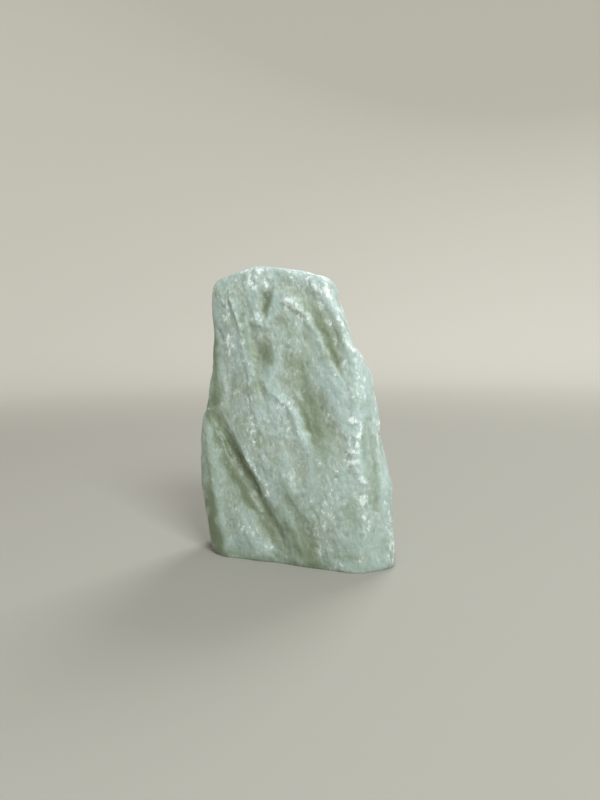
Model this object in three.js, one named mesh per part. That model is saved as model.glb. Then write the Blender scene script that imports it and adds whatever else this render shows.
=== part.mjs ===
// A raw soapstone: one broken piece of pale green talc rock, standing on a sawn flat base.
// The stone is the union of two masses. The slab carries the front face, the top and the right side. The
// lobe is the lower left shoulder, which the slab's slanting edge overhangs along a deep groove. Each
// mass is a set of broken facets with worn edges. Furrows, pits and ribs are cut into or raised on named
// facets, and a slow waviness that is drawn out along the grain goes over everything.
// Millimetres, +Z up, -Y is the front. The origin is the middle of the base.
import * as THREE from "three";

// Driving dimensions
const HEIGHT = 106;
const COLUMNS = 84;
const SIDE_ROWS = 49;
const TOP_ROWS = 7;
const BASE_BEVEL = 0.5;

// How far two neighbouring facets are worn into each other, and how far the masses' groove is filled.
const EDGE_WEAR = 3.5;
const GROOVE_FILL = 2.6;

// The cleavage grain runs steeply down the front, from the upper left to the lower right.
const GRAIN = new THREE.Vector3(0.41, -0.2, -0.89).normalize();

// Broken facets, each a point that it goes through and the direction that it faces.
const facet = (through, faces) => {
  const normal = new THREE.Vector3(...faces).normalize();
  return { normal, offset: normal.dot(new THREE.Vector3(...through)) };
};
const FRONT = facet([15.7, -21.5, 0], [-0.366, -0.925, 0.105]);
const RIGHT_FRONT = facet([22, -21.8, 14], [0.4, -0.9, 0.115]);
const LEFT_FRONT = facet([-18.2, 0.7, 77.5], [-0.5, -0.86, 0.068]);
const RIGHT = facet([34.1, 0, 10], [0.985, -0.1, 0.115]);
const BACK = facet([0, 22, 15], [0.1, 0.98, 0.1]);
const UPPER_RIGHT = facet([29.6, 0, 64], [0.9, -0.1, 0.41]);
const LEFT = facet([-31.8, 12, 80], [-0.99, 0.1, 0]);
const SLAB = [
  FRONT,
  RIGHT_FRONT,
  LEFT_FRONT,
  facet([-20.8, 3, 87], [-0.66, -0.75, 0.03]), // upper left front
  RIGHT,
  BACK,
  LEFT,
  UPPER_RIGHT,
  facet([20.6, 0, 86], [0.91, 0, 0.42]), // right of the shoulder
  facet([18.2, 0, 97.5], [0.7, 0, 0.7]), // top right corner
  facet([0, 0, 104.9], [0.2, 0, 0.98]), // top, right of the summit
  facet([-14, 0, 106.6], [-0.06, 0.06, 1]), // summit
  facet([-30.6, 0, 98], [-0.93, 0, 0.37]), // top left corner, its side
  facet([-26.8, 0, 104.2], [-0.55, 0, 0.83]), // top left corner, its top
  facet([-30, 17, 80], [-0.55, 0.83, 0.1]), // back left
  facet([28, 14, 40], [0.7, 0.7, 0.16]), // back right
  facet([0, 14, 98], [0.05, 0.7, 0.7]), // back of the top
  facet([-32.6, 2.9, 58.6], [-0.876, 0.1, -0.47]), // underside of the slanting edge
];
const LOBE_FRONT = facet([-5.2, -12.5, 0], [-0.33, -0.92, 0.21]);
const LOBE = [
  LOBE_FRONT,
  facet([-32.3, 0.9, 33.5], [-0.82, -0.56, 0]), // left front
  facet([-37.9, 8, 38], [-0.99, 0.12, 0.05]), // left
  facet([-36.2, 8, 54], [-0.95, -0.1, 0.3]), // shoulder
  facet([-35.2, 6, 16], [-0.97, 0, -0.15]), // undercut at the foot
  facet([-28, 19, 30], [-0.55, 0.83, 0.1]), // back left
  facet([0, 20, 15], [0.05, 0.99, 0.2]), // back
  facet([0, 0, 78], [0.1, 0.1, 1]),
  facet([12, 0, 20], [1, 0, 0.2]),
];

const smoothMax = (a, b, k) => {
  const near = Math.max(k - Math.abs(a - b), 0) / k;
  return Math.max(a, b) + (near * near * k) / 4;
};
const smoothMin = (a, b, k) => -smoothMax(-a, -b, k);
const heightAbove = ({ normal, offset }, p) => normal.dot(p) - offset;
const mass = (facets, p) =>
  facets.map((f) => heightAbove(f, p)).reduce((a, b) => smoothMax(a, b, EDGE_WEAR));

// The point of a facet at a height of z. The other value is its x on a facet that mostly faces the front
// or the back, and its y on one that mostly faces a side.
const pointOn = ({ normal, offset }, across, z) => {
  if (Math.abs(normal.y) > Math.abs(normal.x)) {
    return new THREE.Vector3(across, (offset - normal.x * across - normal.z * z) / normal.y, z);
  }
  return new THREE.Vector3((offset - normal.y * across - normal.z * z) / normal.x, across, z);
};

// A relief is a smooth path on a facet, along which the stone is cut in or raised. A stop is
// [x or y, z, width, amount] in millimetres. A sharp relief has a straight-sided section, and the others
// have a bell-shaped one.
const PATH_PIECES = 4; // straight pieces between one stop and the next
const relief = (sign, sharp, face, stops) => {
  const values = stops.map(([, , width, amount]) => [width / 2, sign * amount]);
  const curve = new THREE.CatmullRomCurve3(stops.map(([x, z]) => pointOn(face, x, z)));
  const pieces = (stops.length - 1) * PATH_PIECES;
  const points = Array.from({ length: pieces + 1 }, (_, i) => {
    const stop = Math.min(Math.floor(i / PATH_PIECES), stops.length - 2);
    const share = i / PATH_PIECES - stop;
    const [reach, amount] = values[stop].map((v, k) => THREE.MathUtils.lerp(v, values[stop + 1][k], share));
    return { at: curve.getPoint(i / pieces), reach, amount };
  });
  return { face, points, sharp };
};
const furrow = (face, ...stops) => relief(1, false, face, stops);
const crease = (face, ...stops) => relief(1, true, face, stops);
const rib = (face, ...stops) => relief(-1, false, face, stops);
const crest = (face, ...stops) => relief(-1, true, face, stops);

// A relief fades out between these distances from its facet.
const FULL_RELIEF = 4;
const NO_RELIEF = 9;
const flat = new THREE.Vector3();
const along = new THREE.Vector3();
const away = new THREE.Vector3();
const reliefAt = ({ face, points, sharp }, p) => {
  const lift = heightAbove(face, p);
  if (Math.abs(lift) > NO_RELIEF) return 0;
  flat.copy(p).addScaledVector(face.normal, -lift);
  let nearest = 1; // as a share of the reach
  let amount = 0;
  for (let i = 0; i + 1 < points.length; i++) {
    const [start, end] = [points[i], points[i + 1]];
    along.subVectors(end.at, start.at);
    away.subVectors(flat, start.at);
    const share = THREE.MathUtils.clamp(away.dot(along) / along.lengthSq(), 0, 1);
    const distance = away.addScaledVector(along, -share).length();
    const off = distance / THREE.MathUtils.lerp(start.reach, end.reach, share);
    if (off < nearest) {
      nearest = off;
      amount = THREE.MathUtils.lerp(start.amount, end.amount, share);
    }
  }
  const fade = 1 - THREE.MathUtils.smoothstep(Math.abs(lift), FULL_RELIEF, NO_RELIEF);
  return amount * fade * (sharp ? 1 - nearest : (1 - nearest * nearest) ** 2);
};

const FRONT_RELIEFS = [
  // the trough from the summit down to the right, between the tongue and the outer rim
  furrow(FRONT, [-14, 101.5, 6, 0.3], [-6, 100, 9, 0.8], [3, 96, 10, 1.3], [8.8, 89.5, 9.5, 1.6],
    [12, 83, 8.5, 1.6], [14.2, 76, 8, 1.5], [16.6, 69, 7, 1.2], [20, 61.5, 5, 0.3]),
  // the pit left of the tongue's tip, and the shallow hollow under it
  furrow(FRONT, [-8, 98.5, 6, 0.9], [-9.4, 94.5, 7, 2], [-10.4, 91, 6, 1.4]),
  furrow(FRONT, [-11.2, 79, 6, 0.5], [-10.8, 75.5, 9, 1.5], [-10.5, 71.5, 7, 0.6]),
  // the valley right of the left ridge
  furrow(FRONT, [-18.5, 98, 5, 0.5], [-16.5, 90, 5, 1], [-15, 80, 5, 1], [-13, 70, 6, 0.9],
    [-12, 60, 6, 0.8], [-9.5, 48, 5, 0.4]),
  // the middle hollow
  furrow(FRONT, [2, 71, 9, 0.4], [5.5, 62, 14, 1.4], [8.5, 54, 14, 1.6], [10, 43, 10, 0.6]),
  // the left ridge
  crest(FRONT, [-22.6, 98, 4, 0.4], [-20.8, 88, 4, 0.7], [-18.6, 78, 4, 0.6], [-16.2, 66, 4, 0.6],
    [-15.2, 57, 4, 0.7], [-13, 48, 4, 0.4], [-9, 33, 5, 0.2]),
  // the tongue: its tip, its right ridge and the short edge beside the pit
  crest(FRONT, [-3, 93, 4, 0.6], [-0.8, 94, 5, 1.2], [3, 90.5, 5, 0.6], [6.3, 84, 4.5, 0.4],
    [9.4, 75.5, 4.5, 0.4], [12.8, 66.5, 4.5, 0.7], [16, 60.5, 4, 0.5]),
  crest(FRONT, [-2, 94, 4, 0.6], [-6, 91.2, 4, 0.8], [-8, 88, 4, 0.5]),
  // the block between the pit and the hollow
  rib(FRONT, [-13.5, 86, 6, 0.9], [-9.5, 85, 7, 1.1]),
  // the diagonal ridge left of the middle hollow
  crest(FRONT, [-12.8, 67, 4, 0.3], [-8, 61, 5, 0.5], [-4.6, 58, 5, 0.6], [-1.2, 54.6, 5, 0.8],
    [0.8, 50.4, 5, 0.9], [2, 46, 5, 0.8], [3.8, 42.4, 4, 0.4]),
  // shallow dips in the lower front
  furrow(FRONT, [-2, 42, 8, 0.6], [1, 36, 9, 1.1], [0, 29, 7, 0.5]),
  furrow(FRONT, [-4, 22, 7, 0.6], [1, 13, 9, 1.2], [5, 4, 8, 0.6]),
  rib(FRONT, [-2, 30, 8, 0.7], [-1, 25, 8, 0.5]),
  // the crest down the right
  crest(FRONT, [20, 64, 4, 0.6], [21, 59, 6, 1.4], [21.6, 50, 6, 1], [20.6, 38, 6, 1.5],
    [22.6, 29, 6, 1.2], [22.8, 21, 5, 0.9], [22.4, 10, 5, 0.4], [22.4, 4, 5, 0.1]),
  // the crease right of it
  crease(RIGHT_FRONT, [25.2, 50, 4, 0.4], [25.6, 40, 4, 1], [26.6, 29, 4.5, 1.3], [27, 18, 4, 1],
    [26.6, 8, 4, 0.3]),
];
const SIDE_RELIEFS = [
  // a split and a worn hollow down the right side
  crease(RIGHT, [2, 66, 4, 0.3], [0, 52, 5, 1.3], [-3, 34, 5, 1.4], [-4, 14, 4, 0.4]),
  furrow(RIGHT, [14, 50, 8, 0.6], [11, 34, 11, 1.8], [9, 18, 9, 0.8]),
  crest(RIGHT, [8, 70, 4, 0.4], [6, 54, 5, 1.2], [3, 38, 5, 1], [2, 22, 4, 0.4]),
  // the swelling low on the right side
  rib(RIGHT, [-8, 24, 34, 1.3], [2, 24, 38, 2.5], [14, 24, 34, 1.5]),
  // above it a ledge, a dip that slants across it under the swollen shoulder, and a hollow behind them
  crest(UPPER_RIGHT, [8, 94, 4, 0.3], [4, 84, 6, 0.6], [0, 74, 6, 0.3], [-3, 63, 7, 1.4]),
  furrow(UPPER_RIGHT, [-7, 80, 17, 2], [0, 77, 22, 3], [9, 67, 16, 1.2]),
  rib(UPPER_RIGHT, [-8, 100, 9, 1.2], [0, 97, 12, 2.2], [8, 91, 9, 0.8]),
  furrow(UPPER_RIGHT, [11, 86, 8, 0.6], [9, 75, 10, 1.6], [8, 64, 8, 0.8]),
  // the left side's flare over the lobe, and a ledge behind it
  rib(LEFT, [12, 72, 8, 0.4], [12, 60.5, 14, 2.1], [11, 54, 13, 2.2]),
  crest(LEFT, [13, 92, 4, 0.2], [11, 84, 5, 0.7], [12, 76, 5, 0.6], [10, 66, 4, 0.2]),
];
const BACK_RELIEFS = [
  // a broad hollow under the top, and a long ledge down the grain with a shorter one beside it
  furrow(BACK, [-14, 88, 18, 1.5], [-8, 74, 24, 3], [0, 60, 20, 2]),
  crest(BACK, [16, 96, 4, 0.4], [12, 80, 6, 1.6], [6, 62, 6, 1.8], [3, 44, 6, 1.6], [-3, 26, 6, 1.2],
    [-6, 8, 5, 0.4]),
  furrow(BACK, [20, 78, 7, 0.6], [16, 60, 9, 1.6], [12, 42, 9, 1.8], [7, 26, 8, 1]),
  crease(BACK, [-22, 70, 4, 0.4], [-17, 52, 6, 1.6], [-14, 36, 6, 1.6], [-13, 20, 5, 0.8]),
  rib(BACK, [24, 40, 9, 0.8], [22, 26, 11, 1.4], [18, 10, 10, 0.8]),
  // pits
  furrow(BACK, [-2, 84, 6, 1], [-3, 80, 6, 1.4]),
  furrow(BACK, [14, 30, 5, 0.8], [13, 26, 6, 1.2]),
  furrow(BACK, [-8, 18, 7, 0.6], [-10, 12, 8, 1.2]),
];
const LOBE_RELIEFS = [
  // the lobe's edge, the slope behind it and the swelling at its foot
  crest(LOBE_FRONT, [-32.4, 50, 6, 0.4], [-32.2, 36, 7, 0.8], [-30.5, 24, 7, 0.8], [-28.5, 12, 6, 0.6]),
  furrow(LOBE_FRONT, [-27.5, 46, 7, 0.4], [-23.5, 35, 10, 0.9], [-20, 26, 9, 0.6]),
  rib(LOBE_FRONT, [-22, 22, 12, 0.6], [-18, 12, 16, 1.4], [-14, 4, 14, 1.2]),
];
// the groove between the lobe and the slab
const GROOVE = crease(FRONT, [-33.4, 60, 4, 0.2], [-31.3, 53, 4, 0.9], [-29, 47.5, 4.5, 1.6],
  [-26, 42, 5.5, 2.6], [-23, 36.8, 6.5, 3], [-19, 30.5, 6.5, 2.8], [-15, 24, 6.5, 2.4],
  [-11.4, 17.5, 6, 2], [-7.2, 11, 5, 1.4], [-3.2, 4, 4, 0.6]);

// Smooth noise from -1 to 1 with one value for each cell corner of a unit grid.
const cornerValue = (x, y, z) => {
  const n = Math.sin(x * 127.1 + y * 311.7 + z * 74.7) * 43758.5453;
  return 2 * (n - Math.floor(n)) - 1;
};
const noise = ({ x, y, z }) => {
  const [i, j, k] = [x, y, z].map(Math.floor);
  const [u, v, w] = [x - i, y - j, z - k].map((t) => t * t * (3 - 2 * t));
  const { lerp } = THREE.MathUtils;
  const row = (b, c) => lerp(cornerValue(i, j + b, k + c), cornerValue(i + 1, j + b, k + c), u);
  return lerp(lerp(row(0, 0), row(1, 0), v), lerp(row(0, 1), row(1, 1), v), w);
};
const WAVES = [
  { length: 15, height: 0.8 },
  { length: 7, height: 0.45 },
];
const GRAIN_STRETCH = 2.6;
const waviness = (p) => {
  const along = p.dot(GRAIN);
  const drawn = p.clone().addScaledVector(GRAIN, along * (1 / GRAIN_STRETCH - 1));
  return WAVES.reduce(
    (sum, { length, height }) => sum + height * noise(drawn.clone().divideScalar(length)), 0);
};

const SLAB_RELIEFS = [...FRONT_RELIEFS, ...SIDE_RELIEFS, ...BACK_RELIEFS];
const carved = (facets, reliefs, p) => reliefs.reduce((d, r) => d + reliefAt(r, p), mass(facets, p));

// Signed distance, roughly: below 0 inside the stone.
function stone(p) {
  const masses = smoothMin(carved(SLAB, SLAB_RELIEFS, p), carved(LOBE, LOBE_RELIEFS, p), GROOVE_FILL);
  return masses + reliefAt(GROOVE, p) + waviness(p);
}

// The first point where a ray from inside leaves the stone.
const STEP = 1;
const HALVINGS = 12;
function surfacePoint(from, direction) {
  const at = (t) => from.clone().addScaledVector(direction, t);
  let outside = STEP;
  while (stone(at(outside)) < 0) outside += STEP;
  let inside = outside - STEP;
  for (let i = 0; i < HALVINGS; i++) {
    const middle = (inside + outside) / 2;
    if (stone(at(middle)) < 0) inside = middle;
    else outside = middle;
  }
  return at(inside);
}

// The rays start from the core, an upright sheet within the stone that lies the same way as the slab. A
// ray of a side row is level. It leaves square to the sheet, and fans out only towards the sheet's ends.
// The last row of points, whose rays go straight up from the core's head, is a crest along the top.
const CORE_FOOT = new THREE.Vector3(2, 2, 0);
const CORE_HEAD = new THREE.Vector3(-8, 7.5, 96);
const ALONG_CORE = new THREE.Vector3(0.93, -0.37, 0);
const ACROSS_CORE = new THREE.Vector3(0.37, 0.93, 0);
const FOOT_HALF = 21;
const HEAD_HALF = 14.5;
const ROUGH_STEPS = 3; // rays per column while the columns are being spaced

// One row of points. Its back half and its front half have the same number of columns, evenly spaced.
function rowOfPoints(height, elevation) {
  const cast = (turn) => {
    const share = Math.cos(turn * Math.PI);
    const start = CORE_FOOT.clone().lerp(CORE_HEAD, height ** 2).setZ(CORE_HEAD.z * height);
    start.addScaledVector(ALONG_CORE, share * THREE.MathUtils.lerp(FOOT_HALF, HEAD_HALF, height ** 3));
    const fan = (Math.PI / 2) * share ** 3;
    const side = turn < 1 ? 1 : -1;
    const direction = new THREE.Vector3(0, 0, Math.sin(elevation));
    direction.addScaledVector(ALONG_CORE, Math.cos(elevation) * Math.sin(fan));
    direction.addScaledVector(ACROSS_CORE, Math.cos(elevation) * Math.cos(fan) * side);
    return surfacePoint(start, direction);
  };
  const columns = COLUMNS / 2;
  const rays = columns * ROUGH_STEPS;
  return [0, 1].flatMap((side) => {
    const rough = Array.from({ length: rays + 1 }, (_, i) => cast(side + i / rays));
    const lengths = [0];
    for (let i = 1; i <= rays; i++) lengths.push(lengths[i - 1] + rough[i].distanceTo(rough[i - 1]));
    let i = 1;
    return Array.from({ length: columns }, (_, column) => {
      const wanted = (column / columns) * lengths[rays];
      while (lengths[i] < wanted) i++;
      const share = (wanted - lengths[i - 1]) / (lengths[i] - lengths[i - 1]);
      return cast(side + (i - 1 + share) / rays);
    });
  });
}

// How far the middle of a straight line between two points is from the surface.
const offSurface = (start, end) => Math.abs(stone(start.clone().lerp(end, 0.5)));

function stoneGeometry() {
  const rows = [];
  for (let row = 0; row <= SIDE_ROWS; row++) rows.push(rowOfPoints(row / SIDE_ROWS, 0));
  for (let row = 1; row < TOP_ROWS; row++) rows.push(rowOfPoints(1, ((row / TOP_ROWS) * Math.PI) / 2));
  // the sawn edge of the base is slightly bevelled
  for (const p of rows[0]) p.addScaledVector(p.clone().sub(CORE_FOOT).normalize(), -BASE_BEVEL);

  const points = rows.flat();
  const crestStart = points.length;
  points.push(...rowOfPoints(1, Math.PI / 2).slice(0, COLUMNS / 2 + 1), CORE_FOOT);
  const baseMiddle = points.length - 1;
  const at = (row, column) => {
    const c = column % COLUMNS;
    return row < rows.length ? row * COLUMNS + c : crestStart + Math.min(c, COLUMNS - c);
  };
  const faces = [];
  for (let c = 0; c < COLUMNS; c++) {
    faces.push(baseMiddle, at(0, c + 1), at(0, c));
    for (let r = 0; r < rows.length; r++) {
      const [a, b, d, e] = [at(r, c), at(r, c + 1), at(r + 1, c + 1), at(r + 1, c)];
      // each four-sided cell is split along the diagonal that lies closer to the surface
      if (offSurface(points[a], points[d]) < offSurface(points[b], points[e])) faces.push(a, b, d, a, d, e);
      else faces.push(a, b, e, b, d, e);
    }
  }
  const geometry = new THREE.BufferGeometry().setFromPoints(points).setIndex(faces);
  geometry.computeBoundingBox();
  const { min, max } = geometry.boundingBox;
  geometry.translate(-(min.x + max.x) / 2, -(min.y + max.y) / 2, -min.z);
  geometry.scale(1, 1, HEIGHT / (max.z - min.z));
  geometry.computeVertexNormals();
  return geometry;
}

const soapstone = new THREE.Mesh(
  stoneGeometry(),
  new THREE.MeshStandardMaterial({ color: 0xa3b5a4, roughness: 0.45, metalness: 0 }),
);
soapstone.name = "stone";
const part = new THREE.Group();
part.add(soapstone);
export default part;
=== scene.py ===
"""A raw soapstone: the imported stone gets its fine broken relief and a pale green, waxy and frosted surface.

Lengths in the sculpting functions are millimetres in the part's own frame: +Z up, the front faces -Y.
"""
import math

import bpy
import numpy as np
from mathutils import Matrix, Vector


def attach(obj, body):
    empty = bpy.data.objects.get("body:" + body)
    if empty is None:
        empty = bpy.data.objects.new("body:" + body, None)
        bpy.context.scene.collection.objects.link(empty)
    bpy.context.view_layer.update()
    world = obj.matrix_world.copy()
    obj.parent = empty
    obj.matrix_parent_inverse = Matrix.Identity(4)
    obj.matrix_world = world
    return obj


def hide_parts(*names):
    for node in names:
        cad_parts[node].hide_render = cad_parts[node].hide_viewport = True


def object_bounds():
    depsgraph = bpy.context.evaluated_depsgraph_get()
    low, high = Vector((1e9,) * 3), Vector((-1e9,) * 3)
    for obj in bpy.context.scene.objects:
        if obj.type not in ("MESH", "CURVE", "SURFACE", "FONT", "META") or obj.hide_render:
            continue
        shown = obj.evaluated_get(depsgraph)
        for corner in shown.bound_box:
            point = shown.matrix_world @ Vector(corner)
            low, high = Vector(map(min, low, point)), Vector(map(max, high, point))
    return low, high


MM = 0.001

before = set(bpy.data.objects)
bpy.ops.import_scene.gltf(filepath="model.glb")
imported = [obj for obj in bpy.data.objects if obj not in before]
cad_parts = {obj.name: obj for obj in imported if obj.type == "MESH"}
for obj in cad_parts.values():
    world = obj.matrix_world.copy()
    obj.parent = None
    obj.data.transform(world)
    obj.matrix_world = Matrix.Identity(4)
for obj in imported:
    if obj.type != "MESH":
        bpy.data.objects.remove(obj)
cad_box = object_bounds()


# ---------------------------------------------------------------- camera
# The image is upright, so the sensor's width lies along its height.
IMAGE_HEIGHT = 800
FOCAL_PIXELS = 620
SENSOR = 36.0
EYE = Vector((2.2, -225.4, 82.2)) * MM
TILT_DOWN = math.radians(6.346)
ROLL = math.radians(-1.4737)
NEAREST = 0.005


def make_camera():
    """A wide lens close to the stone, level with its upper part and tilted a little down."""
    data = bpy.data.cameras.new("camera")
    data.sensor_width = SENSOR
    data.lens = FOCAL_PIXELS / IMAGE_HEIGHT * SENSOR
    data.clip_start = NEAREST
    camera = bpy.data.objects.new("camera", data)
    bpy.context.scene.collection.objects.link(camera)
    upright = Matrix.Rotation(math.pi / 2 - TILT_DOWN, 4, "X")
    camera.matrix_world = Matrix.Translation(EYE) @ upright @ Matrix.Rotation(ROLL, 4, "Z")
    bpy.context.scene.camera = camera


# ---------------------------------------------------------------- node helpers
def srgb(r, g, b):
    """A colour for a socket, from its 0 to 255 screen values."""
    return tuple(((c / 255 + 0.055) / 1.055) ** 2.4 for c in (r, g, b)) + (1.0,)


class Nodes:
    """Short calls that add nodes to one tree."""

    def __init__(self, tree):
        self.tree = tree

    def feed(self, socket, value):
        """Links another node's output to a socket, or sets the socket to a plain value."""
        if isinstance(value, bpy.types.NodeSocket):
            self.tree.links.new(value, socket)
        else:
            socket.default_value = value

    def add(self, kind, inputs=(), **settings):
        node = self.tree.nodes.new("ShaderNode" + kind)
        for key, value in settings.items():
            setattr(node, key, value)
        for key, value in dict(inputs).items():
            self.feed(node.inputs[key], value)
        return node

    def attribute(self, name):
        return self.add("Attribute", attribute_name=name).outputs["Fac"]

    def math(self, operation, a, b, third=0.0, clamp=False):
        return self.add("Math", {0: a, 1: b, 2: third}, operation=operation, use_clamp=clamp).outputs[0]

    def ramp(self, value, low, high, to_low, to_high):
        """value taken from low..high to to_low..to_high, with smooth ends."""
        sockets = {"Value": value, "From Min": low, "From Max": high, "To Min": to_low, "To Max": to_high}
        return self.add("MapRange", sockets, interpolation_type="SMOOTHSTEP").outputs["Result"]

    def mix(self, share, a, b):
        """Colour a, with this share of colour b. Inputs 0, 6 and 7 are the node's sockets for colours."""
        node = self.add("Mix", data_type="RGBA")
        for index, value in ((0, share), (6, a), (7, b)):
            self.feed(node.inputs[index], value)
        return node.outputs[2]

    def noise(self, where, scale, detail, roughness, distortion=0.0):
        sockets = {"Vector": where, "Scale": scale, "Detail": detail}
        sockets |= {"Roughness": roughness, "Distortion": distortion}
        return self.add("TexNoise", sockets).outputs["Fac"]

    def blend(self, *terms):
        """The sum of some values, each times its weight."""
        total = 0.0
        for value, weight in terms:
            total = self.math("MULTIPLY_ADD", value, weight, third=total)
        return total


def material(name):
    """A new node material, its tree and its Principled shader."""
    made = bpy.data.materials.new(name)
    made.use_nodes = True
    return made, made.node_tree, made.node_tree.nodes["Principled BSDF"]


# ---------------------------------------------------------------- stage and light
PAPER = (0.39, 0.378, 0.337, 1)
FLOOR_RADIUS = 0.75
SWEEP_RADIUS = 0.6
SWEEP_STEPS = 16
WALL_TOP = 1.1
AROUND = 96
# The paper glows a little far from the stone, which keeps the wall as bright as the floor.
PAPER_GLOW = 0.6
GLOW_START = 0.25
GLOW_FULL = FLOOR_RADIUS + 0.3


def sweep_profile():
    """Each ring's (radius, height): the rim of the flat floor, the quarter turn and the top of the wall."""
    profile = [(FLOOR_RADIUS, 0.0)]
    for step in range(1, SWEEP_STEPS + 1):
        turn = step / SWEEP_STEPS * math.pi / 2
        out = SWEEP_RADIUS * math.sin(turn)
        up = SWEEP_RADIUS * (1 - math.cos(turn))
        profile.append((FLOOR_RADIUS + out, up))
    profile.append((FLOOR_RADIUS + SWEEP_RADIUS, WALL_TOP))
    return profile


def sweep_mesh():
    turns = [2 * math.pi * k / AROUND for k in range(AROUND)]
    profile = sweep_profile()
    points = [(r * math.cos(turn), r * math.sin(turn), z) for r, z in profile for turn in turns]
    faces = []
    for ring in range(len(profile) - 1):
        low = ring * AROUND
        high = low + AROUND
        for k in range(AROUND):
            after = (k + 1) % AROUND
            faces.append((low + k, high + k, high + after, low + after))
    faces.append(tuple(range(AROUND)))
    mesh = bpy.data.meshes.new("sweep")
    mesh.from_pydata(points, [], faces)
    mesh.shade_smooth()
    return mesh


def paper_material():
    made, tree, shader = material("pale_paper")
    nodes = Nodes(tree)
    place = nodes.add("TexCoord").outputs["Object"]
    flat = nodes.add("VectorMath", {0: place, 1: (1, 1, 0)}, operation="MULTIPLY").outputs["Vector"]
    away = nodes.add("VectorMath", {0: flat}, operation="LENGTH").outputs["Value"]
    glow = nodes.ramp(away, GLOW_START, GLOW_FULL, 0.0, PAPER_GLOW)
    tree.links.new(glow, shader.inputs["Emission Strength"])
    shader.inputs["Emission Color"].default_value = PAPER
    shader.inputs["Base Color"].default_value = PAPER
    shader.inputs["Roughness"].default_value = 0.9
    shader.inputs["Specular IOR Level"].default_value = 0.1
    return made


def make_stage():
    """A round pale sweep: a flat floor that curves up into a wall, with no corner in any view."""
    mesh = sweep_mesh()
    sweep = bpy.data.objects.new("sweep", mesh)
    bpy.context.scene.collection.objects.link(sweep)
    mesh.materials.append(paper_material())


# Each soft box's (place, width, watts, colour).
LAMPS = {
    "key": ((0.36, -0.72, 0.66), 0.4, 8.1, (0.94, 0.98, 1.0)),
    "rim": ((0.42, 0.75, 1.0), 0.5, 8.0, (0.95, 0.98, 1.0)),
}
LAMPS_AIM = Vector((0, 0, 0.05))
SKY_COLOUR = (1.0, 0.985, 0.95, 1)
SKY_STRENGTH = 0.43


def area_light(name, place, width, watts, colour):
    """A square soft box that shines at the middle of the stone."""
    data = bpy.data.lights.new(name, "AREA")
    data.size = width
    data.energy = watts
    data.color = colour
    lamp = bpy.data.objects.new(name, data)
    lamp.location = place
    aim = LAMPS_AIM - Vector(place)
    lamp.rotation_euler = aim.to_track_quat("-Z", "Y").to_euler()
    lamp.visible_camera = False
    bpy.context.scene.collection.objects.link(lamp)


def make_light():
    for name, lamp in LAMPS.items():
        area_light(name, *lamp)
    world = bpy.data.worlds.new("studio")
    world.use_nodes = True
    sky = world.node_tree.nodes["Background"]
    sky.inputs["Color"].default_value = SKY_COLOUR
    sky.inputs["Strength"].default_value = SKY_STRENGTH
    bpy.context.scene.world = world


# ---------------------------------------------------------------- noise
def smoothstep(low, high, value):
    t = np.clip((value - low) / (high - low), 0, 1)
    return t * t * (3 - 2 * t)


def hashed(cells, seed):
    """A fixed number from 0 to 1 for each whole-number cell, from its bits spread by large odd factors."""
    n = cells[..., 0] * 374761393 + cells[..., 1] * 668265263
    n += cells[..., 2] * 1442695041 + seed * 974634777
    n = (n ^ (n >> 13)) * 1274126177
    n = (n ^ (n >> 16)) * 668265263
    return ((n ^ (n >> 15)) & 0xFFFFFF) / 0x1000000


def hashed_triples(cells, seed):
    """Three such numbers for each cell, side by side."""
    return np.stack([hashed(cells, seed + k) for k in (1, 2, 3)], axis=1)


NOISE_GAIN = 1.6


def noise(p, seed):
    """Smooth gradient noise, about -1 to 1, with a wavelength of about 1."""
    base = np.floor(p).astype(np.int64)
    f = p - base
    fade = f * f * f * (f * (f * 6 - 15) + 10)
    total = np.zeros(len(p))
    for corner in np.ndindex(2, 2, 2):
        gradient = hashed_triples(base + corner, seed) * 2 - 1
        weight = np.prod(np.where(corner, fade, 1 - fade), axis=1)
        total += weight * ((f - corner) * gradient).sum(axis=1)
    return total * NOISE_GAIN


def waves(p, layers):
    """The sum of some noises, each given as its (wavelength, height, seed)."""
    return sum(noise(p / length, seed) * height for length, height, seed in layers)


def broken_cells(p, seed):
    """Broken pieces about 1 across. Gives each point's distance to its nearest and second nearest seed point,
    and a number from 0 to 1 that all points of one piece share."""
    base = np.floor(p).astype(np.int64)
    first = np.full(len(p), np.inf)
    second = np.full(len(p), np.inf)
    own = np.zeros(len(p))
    for corner in np.ndindex(3, 3, 3):
        cell = base + corner - 1
        place = cell + hashed_triples(cell, seed)
        away = np.linalg.norm(place - p, axis=1)
        nearer = away < first
        second = np.where(nearer, first, np.minimum(second, away))
        own = np.where(nearer, hashed(cell, seed + 4), own)
        first = np.where(nearer, away, first)
    return first, second, own


GRAIN = np.array([0.41, -0.2, -0.89])
GRAIN /= np.linalg.norm(GRAIN)


def along_grain(p, stretch):
    """Places squeezed along the grain, so that a pattern made from them is drawn out along it."""
    return p + np.outer(p @ GRAIN, GRAIN) * (1 / stretch - 1)


def wandering(p, length, reach, seed):
    """The points, each moved by a slow noise, so that what is drawn with them gets an uneven edge."""
    return p + np.stack([noise(p / length, seed + 10 * k) for k in range(3)], axis=1) * reach


# A scoop's height in the middle, below the level of the surface.
SCOOP_FLOOR = -0.3
# How far apart the two nearest seed points are where the slope between two plates starts and ends.
PLATE_SLOPE = (0.02, 0.3)
# How far from a pit's middle its wall starts and ends.
PIT_WALL = (0.1, 0.45)


def scoops(p, size, stretch, seed):
    """Shallow broken scoops with sharp ridges between them, from about -0.3 to 0.5."""
    near, _, _ = broken_cells(along_grain(p, stretch) / size, seed)
    return near * near + SCOOP_FLOOR


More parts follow.
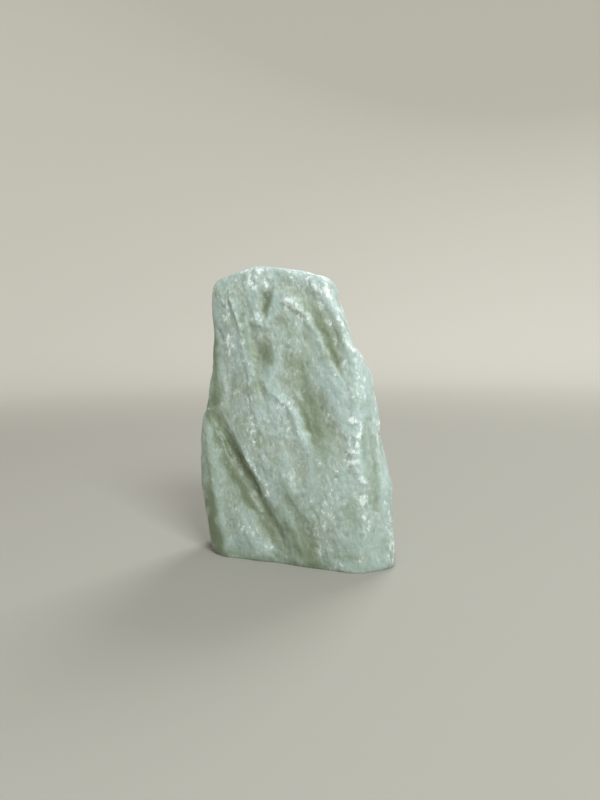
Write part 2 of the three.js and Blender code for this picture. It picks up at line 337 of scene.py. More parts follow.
def plates(p, size, stretch, seed):
    """Broken plates at different heights, from -0.5 to 0.5, with short slopes between them."""
    near, far, own = broken_cells(along_grain(p, stretch) / size, seed)
    return (own - 0.5) * smoothstep(*PLATE_SLOPE, far - near)


def pits(p, size, share, seed):
    """Round pits, 1 at the middle, in this share of the cells."""
    near, _, own = broken_cells(p / size, seed)
    return np.where(own < share, 1 - smoothstep(*PIT_WALL, near), 0)


# ---------------------------------------------------------------- the stone's fine mesh
VOXEL = 0.52
# Each round of rounding off pulls in and then pushes out a little further, so the stone keeps its size.
PULL_IN = 0.5
PUSH_OUT = 0.53


def passes(reach):
    """How many rounds of smoothing average over about this many millimetres."""
    return round((reach / VOXEL) ** 2)


def fine_copy(node):
    """An even, dense mesh of the CAD stone, without its flat triangles."""
    stone = bpy.data.objects.new("soapstone", node.data.copy())
    bpy.context.scene.collection.objects.link(stone)
    remesh = stone.modifiers.new("even", "REMESH")
    remesh.mode = "VOXEL"
    remesh.voxel_size = VOXEL * MM
    bpy.context.view_layer.update()
    shown = stone.evaluated_get(bpy.context.evaluated_depsgraph_get())
    mesh = bpy.data.meshes.new_from_object(shown)
    stone.modifiers.clear()
    stone.data = mesh
    mesh.name = "soapstone"
    mesh.shade_smooth()
    return stone


class Surface:
    """A mesh's points in millimetres, with its neighbours for smoothing."""

    def __init__(self, mesh):
        self.mesh = mesh
        count = len(mesh.vertices)
        flat = np.empty(count * 3)
        mesh.vertices.foreach_get("co", flat)
        self.points = flat.reshape(-1, 3) / MM
        ends = np.empty(len(mesh.edges) * 2, np.int32)
        mesh.edges.foreach_get("vertices", ends)
        self.start, self.end = ends.reshape(-1, 2).T
        self.degree = np.bincount(self.start, minlength=count) + np.bincount(self.end, minlength=count)

    def average(self, values):
        """Each point's mean over its neighbours."""
        if values.ndim > 1:
            return np.stack([self.average(column) for column in values.T], axis=1)
        total = np.bincount(self.start, values[self.end], len(values))
        total += np.bincount(self.end, values[self.start], len(values))
        return total / self.degree

    def smoothed(self, values, times):
        for _ in range(times):
            values = (values + self.average(values)) / 2
        return values

    def round_off(self, times):
        """Takes the steps out of the mesh without shrinking it."""
        for _ in range(times):
            self.points += PULL_IN * (self.average(self.points) - self.points)
            self.points -= PUSH_OUT * (self.average(self.points) - self.points)

    def write(self):
        self.mesh.vertices.foreach_set("co", (self.points * MM).ravel())
        self.mesh.update()

    def normals(self):
        self.write()
        flat = np.empty(len(self.points) * 3)
        self.mesh.vertex_normals.foreach_get("vector", flat)
        return flat.reshape(-1, 3)

    def hollowness(self, times):
        """How deep each point lies below the surface around it, in millimetres; below 0 it stands proud."""
        around = self.smoothed(self.points, times)
        return ((around - self.points) * self.normals()).sum(axis=1)

    def keep_in_box(self):
        """Nothing passes the CAD stone's box, and the sawn base stays flat."""
        low, high = (np.array(corner) / MM for corner in cad_box)
        self.points = np.clip(self.points, low, high)

    def store(self, name, values):
        """Keeps one number a point, for the material to read."""
        attribute = self.mesh.attributes.new(name, "FLOAT", "POINT")
        attribute.data.foreach_set("value", values.astype(np.float32))


# ---------------------------------------------------------------- forms seen from the front
# A form is a tapering stroke in the front view, with stops of (x, z, half width, amount).
# Worn crests, which stand proud of the solid.
TONGUE_EDGE = [
    (-3.2, 92.4, 1.6, 0.3), (-0.6, 92.6, 2.4, 0.6), (2.2, 90.4, 2.2, 0.5), (4.9, 87.2, 1.6, 0.25),
    (7.2, 83.6, 1.2, 0.2), (9.2, 78.8, 1.2, 0.25), (11.0, 74.0, 1.2, 0.35), (13.6, 69.4, 1.3, 0.5),
    (16.0, 65.2, 1.3, 0.4), (17.6, 62.5, 1.0, 0.2),
]
LEFT_RIDGE = [
    (-23.2, 100.0, 0.9, 0.2), (-22.4, 94.9, 1.0, 0.6), (-21.2, 90.4, 0.9, 0.5),
    (-19.6, 86.0, 0.8, 0.4), (-18.3, 81.3, 0.8, 0.35), (-18.0, 76.6, 0.8, 0.25),
    (-16.9, 70.4, 0.9, 0.15), (-16.2, 63.0, 0.9, 0.1), (-15.5, 57.0, 1.0, 0.2),
    (-14.3, 49.8, 0.9, 0.1),
]
DIAGONAL_RIDGE = [
    (-13.0, 66.5, 1.0, 0.1), (-10.6, 63.0, 1.1, 0.15), (-8.0, 60.9, 1.1, 0.2), (-4.5, 58.1, 1.1, 0.2),
    (-1.0, 54.7, 1.1, 0.25), (1.0, 50.6, 1.3, 0.2), (2.2, 46.1, 1.5, 0.25), (3.9, 42.7, 1.0, 0.1),
]
SLAB_EDGE = [
    (-28.4, 50.5, 1.3, 0.1), (-25.0, 44.6, 1.4, 0.15), (-21.2, 39.8, 1.5, 0.2),
    (-17.0, 34.9, 1.5, 0.2), (-12.8, 28.2, 1.5, 0.15), (-9.8, 24.0, 1.5, 0.1), (-6.2, 18.2, 1.4, 0.1),
]
LOBE_CREST = [
    (-33.2, 47.7, 1.4, 0.1), (-32.9, 42.2, 1.5, 0.2), (-32.5, 34.9, 1.5, 0.2),
    (-31.5, 27.6, 1.4, 0.15),
]
RIDGES = (TONGUE_EDGE, LEFT_RIDGE, DIAGONAL_RIDGE, SLAB_EDGE, LOBE_CREST)

# Sharper bottoms for the groove and the pit.
GROOVE = [
    (-33.2, 60.0, 2.0, 0.2), (-31.0, 53.0, 2.0, 0.35), (-28.8, 47.5, 2.2, 0.5),
    (-25.8, 42.0, 2.6, 0.8), (-22.8, 36.8, 3.0, 0.7), (-18.8, 30.5, 3.0, 0.4), (-14.8, 24.0, 3.0, 0.3),
    (-11.2, 17.5, 2.8, 0.3), (-7.0, 11.0, 2.4, 0.2),
]
PIT = [(-9.2, 95.0, 1.8, 0.2), (-9.4, 92.2, 2.2, 0.4), (-9.8, 89.6, 1.8, 0.2)]
CUTS = (GROOVE, PIT)

# Broad shallow fills, which ease the trough, the valley and the head of the pit.
TROUGH_FILL = [
    (6.0, 93.0, 3.0, 0.3), (9.0, 89.5, 3.4, 0.7), (12.4, 83.0, 3.6, 0.9), (14.8, 76.0, 3.6, 1.0),
    (16.8, 69.5, 3.2, 0.8), (19.0, 63.0, 2.6, 0.3),
]
VALLEY_FILL = [
    (-17.8, 97.0, 2.8, 0.3), (-16.4, 90.0, 3.2, 0.6), (-15.4, 80.0, 3.2, 0.6), (-14.6, 70.0, 3.2, 0.6),
    (-13.4, 62.0, 3.2, 0.7), (-11.4, 54.0, 3.2, 0.6), (-9.4, 46.0, 2.8, 0.2),
]
PIT_FILL = [(-8.0, 100.5, 3.0, 0.5), (-8.4, 97.6, 3.0, 0.8)]
FILLS = (TROUGH_FILL, VALLEY_FILL, PIT_FILL)

# The short cross ribs down the right crest, each (x, z, half length, height from foot to head).
CROSS_RIBS = [
    (20.4, 50.8, 2.6, 2.4), (19.7, 46.3, 3.2, 3.0), (20.5, 41.2, 3.0, 1.9), (20.0, 37.4, 3.2, 2.4),
    (21.4, 31.4, 3.0, 4.2), (22.6, 24.2, 2.4, 4.4), (22.0, 14.0, 1.4, 2.4),
]
# How far up a rib its rise ends and its drop starts.
RIB_RISE = 0.45
RIB_DROP = 0.6

# Where the stone is stained olive, with painted shade in olive on the lobe, the left edges, the groove, the
# valleys, under the diagonal ridge and towards the foot; and where it is bruised and frosted, with painted
# highlights on the rim, the tongue's tip and the cross ribs, and painted light over the shade beside the left
# ridge and the slab's edge.
OLIVE_AND_SHADE_STROKES = {
    # Painted shade: the lobe lies in the shade of the slab's overhang.
    "lobe": [(-34.0, 52.0, 12.0, 0.65), (-32.0, 34.0, 14.0, 0.7), (-30.0, 12.0, 10.0, 0.35)],
    # Painted shade on the left edge, which turns away from the light.
    "left edge of the lobe": [
        (-34.6, 46.0, 3.6, 0.4), (-34.2, 34.0, 4.2, 0.7), (-33.2, 26.0, 5.2, 0.95),
        (-32.4, 18.0, 6.2, 1.15), (-31.2, 10.0, 6.2, 1.2), (-28.8, 1.5, 6.4, 1.1),
        (-24.0, 0.5, 5.0, 0.7),
    ],
    # Painted shade on the left edge, which turns away from the light.
    "left edge above the lobe": [
        (-29.4, 86.0, 3.2, 0.6), (-29.4, 78.0, 3.6, 0.95), (-29.6, 68.0, 4.8, 0.95),
        (-29.8, 60.0, 6.0, 0.95), (-31.2, 56.0, 5.6, 1.05),
    ],
    "trough": [
        (-5.7, 98.4, 3.6, 0.3), (-0.3, 96.0, 4.0, 0.35), (3.8, 92.8, 4.4, 0.5), (7.6, 88.5, 4.6, 0.8),
        (11.0, 82.5, 4.6, 1.0), (13.2, 76.0, 4.4, 1.05), (15.4, 70.0, 4.2, 0.95),
        (17.6, 67.0, 3.4, 0.7),
    ],
    "pit": [(-10.2, 96.0, 3.8, 0.5), (-9.5, 92.2, 4.4, 0.95), (-9.8, 88.6, 3.6, 0.8)],
    "upper hollow": [(-10.4, 77.5, 4.8, 0.7), (-10.2, 73.5, 6.4, 1.0), (-9.8, 69.5, 4.8, 0.6)],
    "middle hollow": [
        (2.2, 72.0, 5.0, 0.3), (3.6, 65.0, 7.0, 0.85), (5.4, 57.0, 7.6, 0.95), (7.6, 49.0, 7.4, 1.0),
        (9.6, 40.0, 7.4, 0.8), (10.0, 32.0, 5.0, 0.3),
    ],
    # Painted shade under the diagonal ridge.
    "under the diagonal ridge": [
        (3.2, 62.0, 3.4, 1.0), (4.0, 54.5, 3.6, 1.0), (4.6, 48.4, 4.0, 1.15), (7.4, 43.4, 4.2, 0.9),
        (9.4, 38.0, 4.0, 0.6),
    ],
    # Painted shade in the valley beside the left ridge.
    "lower valley": [
        (-13.7, 73.0, 3.2, 0.8), (-13.5, 66.0, 2.6, 0.6), (-13.0, 60.7, 2.6, 0.8),
        (-12.0, 55.0, 2.2, 0.3),
    ],
    "right of the cross ribs": [
        (24.6, 53.0, 2.8, 0.4), (24.2, 46.0, 3.0, 0.6), (24.0, 38.0, 3.0, 0.6), (25.0, 32.0, 2.6, 0.3),
    ],
    "crease on the right": [
        (26.4, 48.0, 3.0, 0.5), (27.1, 37.5, 3.6, 0.8), (27.6, 30.7, 3.6, 0.8), (27.7, 21.9, 2.8, 0.5),
    ],
    # Painted shade in the valley beside the left ridge.
    "upper valley": [
        (-18.6, 92.0, 3.2, 0.4), (-16.8, 82.3, 3.6, 0.7), (-14.6, 75.8, 3.4, 0.8),
        (-12.8, 69.0, 3.0, 0.4),
    ],
    # Painted shade: darker towards the foot.
    "lower middle of the slab": [
        (-7.6, 35.0, 4.0, 0.4), (-5.4, 30.0, 4.6, 0.6), (-2.0, 24.0, 6.0, 0.6), (0.5, 14.0, 7.0, 0.7),
        (5.0, 2.0, 8.0, 1.1), (12.0, 0.5, 5.0, 0.7),
    ],
    # Painted shade: darker towards the foot.
    "foot": [(4.0, 1.0, 5.0, 0.8), (-18.0, 0.5, 5.0, 0.6), (-31.0, 1.5, 6.0, 0.8)],
    "below the trough": [(17.5, 69.0, 4.0, 0.2), (20.5, 63.5, 4.6, 0.5), (23.0, 57.0, 4.0, 0.3)],
    "right bank of the groove's foot": [
        (-5.6, 19.0, 5.0, 0.6), (-2.8, 12.0, 6.0, 1.05), (1.0, 5.0, 6.0, 0.95),
    ],
    # Painted shadow in the groove under the slab's edge and on its left bank.
    "groove and its left bank": [
        (-33.4, 57.0, 5.0, 0.9), (-31.2, 51.5, 5.4, 1.1), (-29.2, 46.0, 6.2, 1.15),
        (-27.0, 41.0, 7.8, 1.2), (-25.0, 36.0, 9.0, 1.25), (-22.0, 29.4, 7.6, 1.2),
        (-18.0, 22.8, 6.2, 1.15), (-13.2, 16.2, 5.4, 1.05), (-8.8, 9.6, 5.0, 1.0),
        (-4.4, 3.0, 4.2, 0.5),
    ],
    # Painted shadow on the floor of the groove.
    "floor of the groove": [
        (-27.0, 43.5, 4.0, 0.9), (-24.4, 40.0, 4.8, 1.15), (-22.0, 36.0, 5.4, 1.2),
        (-18.6, 29.6, 5.0, 1.15), (-14.8, 23.0, 4.6, 1.1), (-11.2, 16.2, 4.0, 1.0),
        (-7.6, 9.6, 3.4, 0.8),
    ],
}
FROST_AND_HIGHLIGHT_STROKES = {
    "top left": [
        (-27.0, 97.0, 3.5, 0.5), (-19.0, 100.0, 7.0, 1.0), (-13.0, 101.6, 7.0, 1.3),
        (-8.0, 101.0, 4.5, 0.8),
    ],
    "upper left facet": [(-25.5, 92.0, 3.0, 0.6), (-24.5, 87.0, 3.0, 0.5)],
    "middle of the left facet": [(-24.4, 81.5, 2.0, 0.8), (-24.7, 73.9, 2.0, 0.8)],
    "block below the pit": [(-13.2, 87.0, 3.4, 1.1), (-10.8, 85.8, 3.2, 1.0)],
    "upper edge of the tongue": [(-1.0, 92.0, 3.2, 0.6), (4.0, 89.0, 3.2, 0.5), (7.0, 84.0, 2.6, 0.4)],
    "right bank of the trough": [
        (12.0, 96.5, 4.0, 0.3), (16.5, 90.0, 4.0, 0.5), (18.8, 82.0, 3.6, 0.6), (20.4, 76.0, 3.4, 0.7),
    ],
    # Painted light over the shade beside the left ridge.
    "foot of the left ridge": [(-16.2, 53.2, 2.4, 1.0), (-16.0, 50.2, 2.0, 0.7)],
    "end of the diagonal ridge": [(1.0, 47.6, 1.8, 0.7), (2.4, 45.0, 1.8, 0.8)],
    "below the middle hollow": [(8.2, 43.6, 1.6, 0.8), (10.6, 44.0, 1.4, 0.7)],
    "patch in the lower middle": [(-2.6, 32.0, 2.6, 0.7), (-1.0, 28.6, 2.6, 0.7)],
    # Partly frost, partly a painted highlight on the lit heads of the ribs.
    "cross ribs": [
        (18.8, 60.0, 3.0, 0.2), (20.0, 51.8, 3.8, 0.5), (19.6, 45.1, 4.0, 0.6),
        (19.8, 38.4, 4.0, 0.65), (20.8, 31.0, 3.8, 0.75), (22.8, 24.0, 3.4, 0.7),
        (23.4, 14.0, 3.0, 0.65), (22.0, 5.0, 2.4, 0.6),
    ],
    "lower right corner": [
        (31.0, 21.0, 2.6, 0.5), (33.0, 13.0, 3.6, 1.2), (33.6, 8.0, 4.0, 1.3), (32.8, 2.5, 3.8, 1.2),
    ],
    "right edge": [
        (30.0, 58.0, 2.6, 0.5), (29.4, 52.0, 2.8, 0.8), (29.2, 44.0, 3.4, 1.15),
        (29.4, 36.0, 2.4, 0.5),
    ],
    # Frost with a painted highlight on the tongue's bright tip.
    "tip of the tongue": [
        (-3.2, 93.2, 2.4, 0.9), (-0.8, 92.2, 3.4, 1.4), (1.8, 90.2, 3.4, 1.4), (4.8, 86.6, 2.8, 0.9),
    ],
    # Frost with a painted highlight along the rim, which is lit from behind.
    "rim of the top": [
        (-2.0, 105.5, 2.4, 0.5), (6.0, 104.0, 2.4, 0.7), (13.0, 101.5, 2.4, 0.8),
        (17.0, 97.0, 2.4, 0.8), (19.0, 91.0, 2.2, 0.8), (20.4, 85.5, 2.0, 0.7), (21.2, 80.0, 2.0, 0.7),
        (24.0, 74.0, 2.6, 0.9),
    ],
    "foot of the groove": [(-13.4, 6.0, 3.0, 0.7), (-7.6, 2.0, 2.6, 0.7), (0.0, 2.0, 2.4, 0.4)],
    # Painted light: it lightens the shade of the slab's turned edge.
    "slab above the groove": [
        (-18.6, 40.5, 2.4, 0.4), (-15.0, 33.0, 3.0, 0.65), (-11.6, 27.0, 3.0, 0.65),
        (-8.0, 20.0, 2.6, 0.4),
    ],
    "pale patch of the lobe": [
        (-22.5, 18.5, 4.0, 0.4), (-19.6, 14.4, 4.6, 0.7), (-16.5, 10.0, 4.4, 0.7),
        (-13.0, 6.0, 3.4, 0.5),
    ],
    # Painted light over the shadow beside the left ridge.
    "lower half of the left ridge": [
        (-18.6, 72.0, 2.6, 0.4), (-17.6, 66.7, 3.2, 0.75), (-16.6, 60.0, 3.0, 0.6),
        (-16.1, 54.0, 3.2, 0.75), (-14.8, 44.0, 3.4, 0.75), (-13.0, 38.0, 3.0, 0.3),
    ],
    "left of the diagonal ridge": [
        (-8.4, 62.0, 3.0, 0.4), (-6.0, 57.0, 3.4, 0.5), (-5.0, 51.0, 3.2, 0.4),
    ],
    "right of the lower middle": [(6.0, 25.0, 4.0, 0.3), (9.4, 20.0, 5.0, 0.5), (11.0, 13.0, 5.0, 0.4)],
    "top right": [
        (-3.0, 102.5, 4.0, 0.5), (4.0, 101.0, 5.0, 0.7), (8.0, 98.0, 5.0, 0.8), (13.0, 95.0, 4.0, 0.6),
    ],
    "lower right face": [(13.0, 30.0, 7.0, 0.4), (11.0, 16.0, 9.0, 0.5), (9.0, 5.0, 9.0, 0.5)],
    "shoulder": [
        (18.1, 83.1, 2.0, 0.4), (20.0, 75.3, 2.0, 0.6), (21.8, 66.5, 2.4, 0.5), (24.5, 58.8, 2.4, 0.5),
    ],
}


def stroke(p, stops):
    """How much of a tapering stroke covers each point, seen from the front: its amount on the line, and less
    beside it, down to 0 at its half width."""
    flat = p[:, [0, 2]]
    best = np.zeros(len(p))
    for (x0, z0, w0, a0), (x1, z1, w1, a1) in zip(stops, stops[1:]):
        start = np.array([x0, z0])
        step = np.array([x1, z1]) - start
        share = np.clip((flat - start) @ step / (step @ step), 0, 1)
        away = np.linalg.norm(flat - start - share[:, None] * step, axis=1)
        near = np.clip(1 - away / (w0 + (w1 - w0) * share), 0, 1)
        best = np.maximum(best, near * near * (3 - 2 * near) * (a0 + (a1 - a0) * share))
    return best


def strokes(p, paths):
    return np.max([stroke(p, path) for path in paths], axis=0)


def cross_ribs(p):
    """Short worn steps, one over the other: each rises from its foot and drops at its head."""
    height = np.zeros(len(p))
    for x, z, length, depth in CROSS_RIBS:
        across = np.clip(1 - (np.abs(p[:, 0] - x) / length) ** 2, 0, 1)
        rise = (p[:, 2] - z) / depth + 0.5
        step = np.minimum(smoothstep(0, RIB_RISE, rise), 1 - smoothstep(RIB_DROP, 1, rise))
        height = np.maximum(height, np.sqrt(across) * step)
    return height


# ---------------------------------------------------------------- the relief
# How far a surface has to turn to the front to be shaped as the front is, and to carry its marks.
FRONT = (0.1, 0.45)
SEEN = (-0.35, 0.05)
# How much the forms stand out or go in, for an amount of 1.
CREST_HEIGHT = 0.8
CUT_DEPTH = 0.7
RIB_HEIGHT = 0.3
# Waves, each (wavelength, height, seed).
LUMPS = ((8.0, 0.18, 81), (4.0, 0.1, 82))
FIBRES = ((2.8, 0.13, 71), (1.4, 0.09, 72))
FIBRE_STRETCH = 3.0
# How the edges of forms and marks wander.
SLOW_WANDER = {"length": 3.2, "reach": 0.7, "seed": 11}
QUICK_WANDER = {"length": 1.4, "reach": 0.35, "seed": 51}
OLIVE_AND_SHADE_WANDER = {"length": 5.0, "reach": 1.6, "seed": 131}
FROST_AND_HIGHLIGHT_WANDER = {"length": 2.4, "reach": 1.2, "seed": 161}
# What is broken out, how deep it is everywhere, and how much deeper where the stone is coarse or bruised.
WIDE_SCOOPS = {"size": 9.0, "stretch": 1.5, "seed": 100}
WIDE_SCOOP_DEPTH = 0.35
WIDE_SCOOP_COARSE = 0.9
SMALL_SCOOPS = {"size": 3.4, "stretch": 1.8, "seed": 120}
SMALL_SCOOP_DEPTH = 0.1
SMALL_SCOOP_BRUISED = 0.3
WIDE_PLATES = {"size": 3.6, "stretch": 2.4, "seed": 40}
WIDE_PLATE_BRUISED = 0.35
SMALL_PLATES = {"size": 1.7, "stretch": 1.5, "seed": 60}
SMALL_PLATE_HEIGHT = 0.07
SMALL_PLATE_BRUISED = 0.25
PITS = {"size": 3.0, "share": 0.25, "seed": 140}
PIT_DEPTH = 0.22
# Coarse zones come from a slow noise, bruised places from those zones and from the frost and painted
# highlights on the front.
COARSE_ZONE = 13.0
COARSE_SEED = 91
COARSE_RANGE = (-0.4, 0.5)
BRUISED_RANGE = (0.15, 0.8)
# How much of the coarseness and of the wide scoops the front goes without.
FRONT_LESS_COARSE = 0.6
FRONT_LESS_SCOOPED = 0.5
# The amount of a crest that counts as a whole edge.
WHOLE_EDGE = 0.6
# The relief fades out over this height above the sawn base.
BASE_EDGE = 1.5
# The stains of the sides and the back: their spacing, the noise they start and end at, the least and how
# much more.
BACK_STAIN = 14.0
BACK_STAIN_SEED = 171
BACK_STAIN_RANGE = (-0.1, 0.6)
BACK_STAIN_LEAST = 0.15
BACK_STAIN_MORE = 0.6


def sculpt(surface):
    """Breaks the smooth stone with the named forms and the layers of relief. Gives the material's marks."""
    p = surface.points.copy()
    n = surface.normals()
    front = smoothstep(*FRONT, -n[:, 1])
    seen = smoothstep(*SEEN, -n[:, 1])
    uneven = wandering(wandering(p, **SLOW_WANDER), **QUICK_WANDER)
    grained = along_grain(p, FIBRE_STRETCH)

    edges = strokes(uneven, RIDGES)
    cuts = strokes(uneven, CUTS)
    fills = strokes(p, FILLS)
    ribs = cross_ribs(uneven)
    frosted_and_lit = strokes(wandering(p, **FROST_AND_HIGHLIGHT_WANDER), FROST_AND_HIGHLIGHT_STROKES.values())
    stained_and_shaded = strokes(wandering(p, **OLIVE_AND_SHADE_WANDER), OLIVE_AND_SHADE_STROKES.values())
    back_stains = smoothstep(*BACK_STAIN_RANGE, noise(grained / BACK_STAIN, BACK_STAIN_SEED))
    back_stains = BACK_STAIN_LEAST + BACK_STAIN_MORE * back_stains

    coarse = smoothstep(*COARSE_RANGE, noise(p / COARSE_ZONE, COARSE_SEED))
    coarse *= 1 - FRONT_LESS_COARSE * front
    bruised = np.maximum(coarse, smoothstep(*BRUISED_RANGE, frosted_and_lit) * front)
    wide_scoop_depth = WIDE_SCOOP_DEPTH + WIDE_SCOOP_COARSE * coarse
    small_scoop_depth = SMALL_SCOOP_DEPTH + SMALL_SCOOP_BRUISED * bruised
    small_plate_height = SMALL_PLATE_HEIGHT + SMALL_PLATE_BRUISED * bruised
    lift = waves(p, LUMPS) + waves(grained, FIBRES)
    lift += scoops(uneven, **WIDE_SCOOPS) * wide_scoop_depth * (1 - FRONT_LESS_SCOOPED * front)
    lift += scoops(uneven, **SMALL_SCOOPS) * small_scoop_depth
    lift += plates(uneven, **WIDE_PLATES) * WIDE_PLATE_BRUISED * bruised
    lift += plates(uneven, **SMALL_PLATES) * small_plate_height
    lift -= pits(uneven, **PITS) * PIT_DEPTH
    lift += front * (edges * CREST_HEIGHT - cuts * CUT_DEPTH + fills + ribs * RIB_HEIGHT)
    above_base = smoothstep(0.0, BASE_EDGE, p[:, 2])
    surface.points = p + n * (lift * above_base)[:, None]
    return {
        # Crests and cross ribs get more flecks: partly wear, partly a painted highlight.
        "edge": front * np.clip(edges / WHOLE_EDGE + ribs, 0, 1),
        "olive_and_shade": seen * stained_and_shaded + (1 - seen) * back_stains,
        "frost_and_highlight": seen * frosted_and_lit,
    }


# How far the rounding off reaches, and how wide the broad hollows and the fine crevices are.
ROUNDING = 2.2
BROAD = 9.3
FINE = 2.1
# The depths that count as a whole hollow and a whole crevice.
HOLLOW_DEPTH = 1.2
CREVICE_DEPTH = 0.35


def make_stone():
    stone = fine_copy(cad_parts["stone"])
    surface = Surface(stone.data)
    surface.round_off(passes(ROUNDING))
    broad = surface.hollowness(passes(BROAD))
    marks = sculpt(surface)
    surface.keep_in_box()
    surface.write()
    fine = surface.hollowness(passes(FINE))
    surface.store("hollow", np.clip(broad / HOLLOW_DEPTH, -1, 1))
    surface.store("crevice", np.clip(fine / CREVICE_DEPTH, -1, 1))
    for name, values in marks.items():
        surface.store(name, values)
    return stone


# ---------------------------------------------------------------- the stone's material
SAGE = srgb(170, 184, 172)
MINT = srgb(177, 198, 194)
OLIVE_AND_SHADE_TONE = srgb(142, 157, 132)
DEEP_OLIVE_AND_SHADE_TONE = srgb(101, 114, 87)
PALE = srgb(205, 220, 216)
FROST_AND_GLINT_TONE = srgb(241, 252, 250)
OLIVE_AND_SHADE_STRENGTH = 0.8
# The noises, with their scales in waves a metre.
CLOUDS = {"scale": 90.0, "detail": 4.0, "roughness": 0.6, "distortion": 0.4}
BLOTS = {"scale": 70.0, "detail": 3.0, "roughness": 0.5, "distortion": 0.8}
ZONES = {"scale": 120.0, "detail": 4.0, "roughness": 0.6, "distortion": 0.5}
VEILS = {"scale": 330.0, "detail": 4.0, "roughness": 0.65, "distortion": 0.6}
DUST = {"scale": 900.0, "detail": 3.0, "roughness": 0.6, "distortion": 0.2}
GRIT = {"scale": 1300.0, "detail": 5.0, "roughness": 0.7}
# The width of a crystal, in metres.
CRYSTAL = 0.0012
# How the patterns lie along the stone's grain.
GRAIN_TURN = (0.2, 0.42, 0.0)
GRAIN_SCALE = (1.0, 1.0, 0.7)
# Ramps, each (from, to, value at from, value at to).
PROUD_MINT = (0.25, -0.6, -0.08, 0.14)
MINT_SHARE = (0.36, 0.62, 0.0, 1.0)
OLIVE_BLOTS = (0.48, 0.7, 0.0, 0.6)
OLIVE_HOLLOWS = (0.1, 1.0, 0.0, 0.4)
DEEP_STAINS_AND_SHADE = (0.65, 1.15, 0.0, 0.75)
DEEP_CREVICES = (0.1, 0.9, 0.0, 0.6)
FLECKED_ZONES = (0.42, 0.68, 0.0, 1.0)
WORN_EDGES = (-0.1, -0.9, 0.0, 1.0)
BARE_STAINS_AND_SHADE = (0.2, 0.9, 0.0, 0.85)
DARK_FLECKS = (0.45, 0.34, 0.0, 0.2)
PALE_FLECKS = (0.48, 0.66, 0.0, 0.52)
WHITE_FLECKS_AND_GLINTS = (0.65, 0.73, 0.0, 0.9)
ROUGHNESS = (0.3, 0.75, 0.38, 0.6)
# How much less rough a white fleck is.
WHITE_GLOSS = 0.1
# The first two are heights in metres, between which the foot gets darker: painted shade, as if a dark floor
# gave no light back to the foot.
FOOT_SHADE = (0.062, 0.015, 0.0, 0.3)


def body_colour(nodes, place, clouds, marks):
    """Sage and mint clouds, with olive in blots, in hollows and crevices, where the stone is stained and
    where shade is painted on it.
    """
    proud = nodes.ramp(marks["hollow"], *PROUD_MINT)
    mint = nodes.ramp(nodes.blend((clouds, 1.0), (proud, 1.0)), *MINT_SHARE)
    colour = nodes.mix(mint, SAGE, MINT)
    blots = nodes.noise(place, **BLOTS)
    stains_and_shade = [
        (nodes.ramp(blots, *OLIVE_BLOTS), OLIVE_AND_SHADE_TONE),
        (nodes.ramp(marks["hollow"], *OLIVE_HOLLOWS), OLIVE_AND_SHADE_TONE),
        # Olive where the stone is stained and where shade is painted on it.
        (nodes.math("MULTIPLY", marks["olive_and_shade"], OLIVE_AND_SHADE_STRENGTH), OLIVE_AND_SHADE_TONE),
        (nodes.ramp(marks["olive_and_shade"], *DEEP_STAINS_AND_SHADE), DEEP_OLIVE_AND_SHADE_TONE),
        (nodes.ramp(marks["crevice"], *DEEP_CREVICES), DEEP_OLIVE_AND_SHADE_TONE),
    ]
    for share, stain_and_shade_tone in stains_and_shade:
        colour = nodes.mix(share, colour, stain_and_shade_tone)
    return colour


def crystals(nodes, where, size):
    """Small crooked crystals: a number from 0 to 1 for each, and the distance from its middle."""
    shift = nodes.add("TexNoise", {"Vector": where, "Scale": 0.6 / size, "Detail": 2.0}).outputs["Color"]
    crooked = nodes.add("VectorMath", {0: shift, 1: (size,) * 3, 2: where}, operation="MULTIPLY_ADD")
    cells = nodes.add("TexVoronoi", {"Vector": crooked.outputs["Vector"], "Scale": 1 / size})
    own = nodes.add("SeparateColor", {"Color": cells.outputs["Color"]}).outputs["Red"]
    return own, cells.outputs["Distance"]


def speckles(nodes, place, along, veils, crystal, marks):
    """A fine pattern for the flecks, highest at the whitest. They crowd where the stone is frosted and where
    highlights and light are painted as frost, in some zones, on worn edges and on crests as painted
    highlight, and keep off the stains and the painted shade."""
    zones = nodes.ramp(nodes.noise(place, **ZONES), *FLECKED_ZONES)
    worn = nodes.ramp(marks["crevice"], *WORN_EDGES)
    bare = nodes.ramp(marks["olive_and_shade"], *BARE_STAINS_AND_SHADE)
    density = nodes.blend((zones, 0.45), (marks["frost_and_highlight"], 0.75), (marks["edge"], 0.4), (worn, 0.4))
    density = nodes.math("SUBTRACT", density, bare)
    dust = nodes.noise(along, **DUST)
    return nodes.blend((crystal, 0.16), (dust, 0.4), (veils, 0.44), (density, 0.17))


def flecked(nodes, colour, speckle, white_and_glint):
    """The colour with dark specks between the flecks, pale flecks and white ones, which are partly painted
    glints.
    """
    dark = nodes.ramp(speckle, *DARK_FLECKS)
    pale = nodes.ramp(speckle, *PALE_FLECKS)
    for share, fleck in ((dark, DEEP_OLIVE_AND_SHADE_TONE), (pale, PALE), (white_and_glint, FROST_AND_GLINT_TONE)):
        colour = nodes.mix(share, colour, fleck)
    return colour


def foot_shaded(nodes, colour, place, clouds):
    """The colour, darker towards the foot: painted shade where no light comes back from the floor."""
    height = nodes.add("SeparateXYZ", {"Vector": place}).outputs["Z"]
    uneven = nodes.blend((clouds, 0.03), (height, 1.0))
    return nodes.mix(nodes.ramp(uneven, *FOOT_SHADE), colour, DEEP_OLIVE_AND_SHADE_TONE)


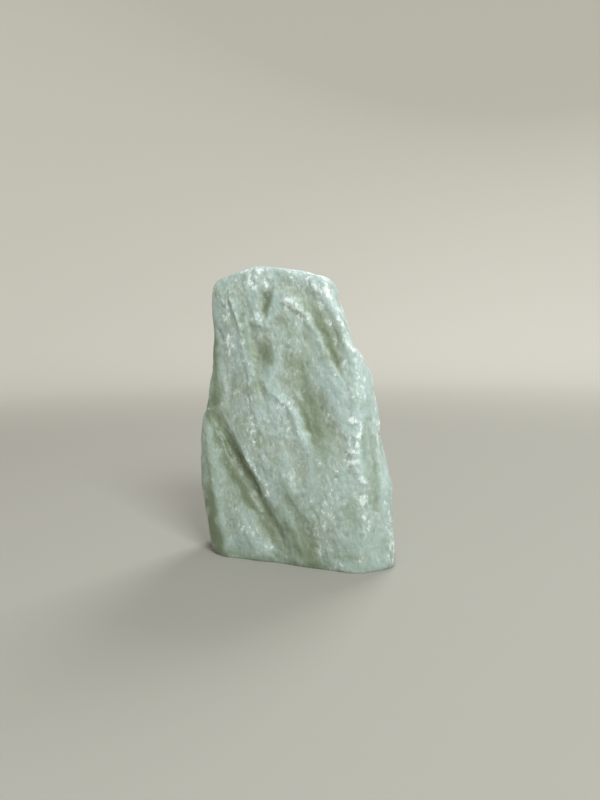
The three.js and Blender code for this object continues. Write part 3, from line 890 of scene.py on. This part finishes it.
def soapstone_material():
    made, tree, shader = material("soapstone")
    nodes = Nodes(tree)
    place = nodes.add("TexCoord").outputs["Object"]
    turned = {"Vector": place, "Rotation": GRAIN_TURN, "Scale": GRAIN_SCALE}
    along = nodes.add("Mapping", turned).outputs["Vector"]
    marks = {name: nodes.attribute(name) for name in ("hollow", "crevice", "edge", "olive_and_shade", "frost_and_highlight")}
    clouds = nodes.noise(along, **CLOUDS)
    veils = nodes.noise(along, **VEILS)
    crystal, dome = crystals(nodes, along, CRYSTAL)
    speckle = speckles(nodes, place, along, veils, crystal, marks)
    # White flecks, partly frost and partly painted glints.
    white_and_glint = nodes.ramp(speckle, *WHITE_FLECKS_AND_GLINTS)

    colour = body_colour(nodes, place, clouds, marks)
    colour = flecked(nodes, colour, speckle, white_and_glint)
    # Painted shade: the colour darkens towards the foot.
    colour = foot_shaded(nodes, colour, place, clouds)
    tree.links.new(colour, shader.inputs["Base Color"])

    gloss = nodes.math("MULTIPLY", white_and_glint, WHITE_GLOSS)
    rough = nodes.math("SUBTRACT", nodes.ramp(veils, *ROUGHNESS), gloss, clamp=True)
    tree.links.new(rough, shader.inputs["Roughness"])
    shader.inputs["IOR"].default_value = 1.54
    shader.inputs["Subsurface Weight"].default_value = 0.3
    shader.inputs["Subsurface Radius"].default_value = (0.8, 1.0, 0.75)
    shader.inputs["Subsurface Scale"].default_value = 0.0012
    shader.inputs["Coat Weight"].default_value = 0.15
    shader.inputs["Coat Roughness"].default_value = 0.2

    grit = nodes.noise(along, **GRIT)
    relief = nodes.blend((grit, 0.4), (speckle, 0.7), (dome, -0.35))
    bump = nodes.add("Bump", {"Height": relief, "Strength": 0.6, "Distance": 0.0006})
    tree.links.new(bump.outputs["Normal"], shader.inputs["Normal"])
    return made


# ---------------------------------------------------------------- the scene
make_camera()
make_stage()
make_light()
bpy.context.scene.view_settings.view_transform = "Standard"
soapstone = make_stone()
soapstone.data.materials.clear()
soapstone.data.materials.append(soapstone_material())
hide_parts("stone")
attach(soapstone, "root")
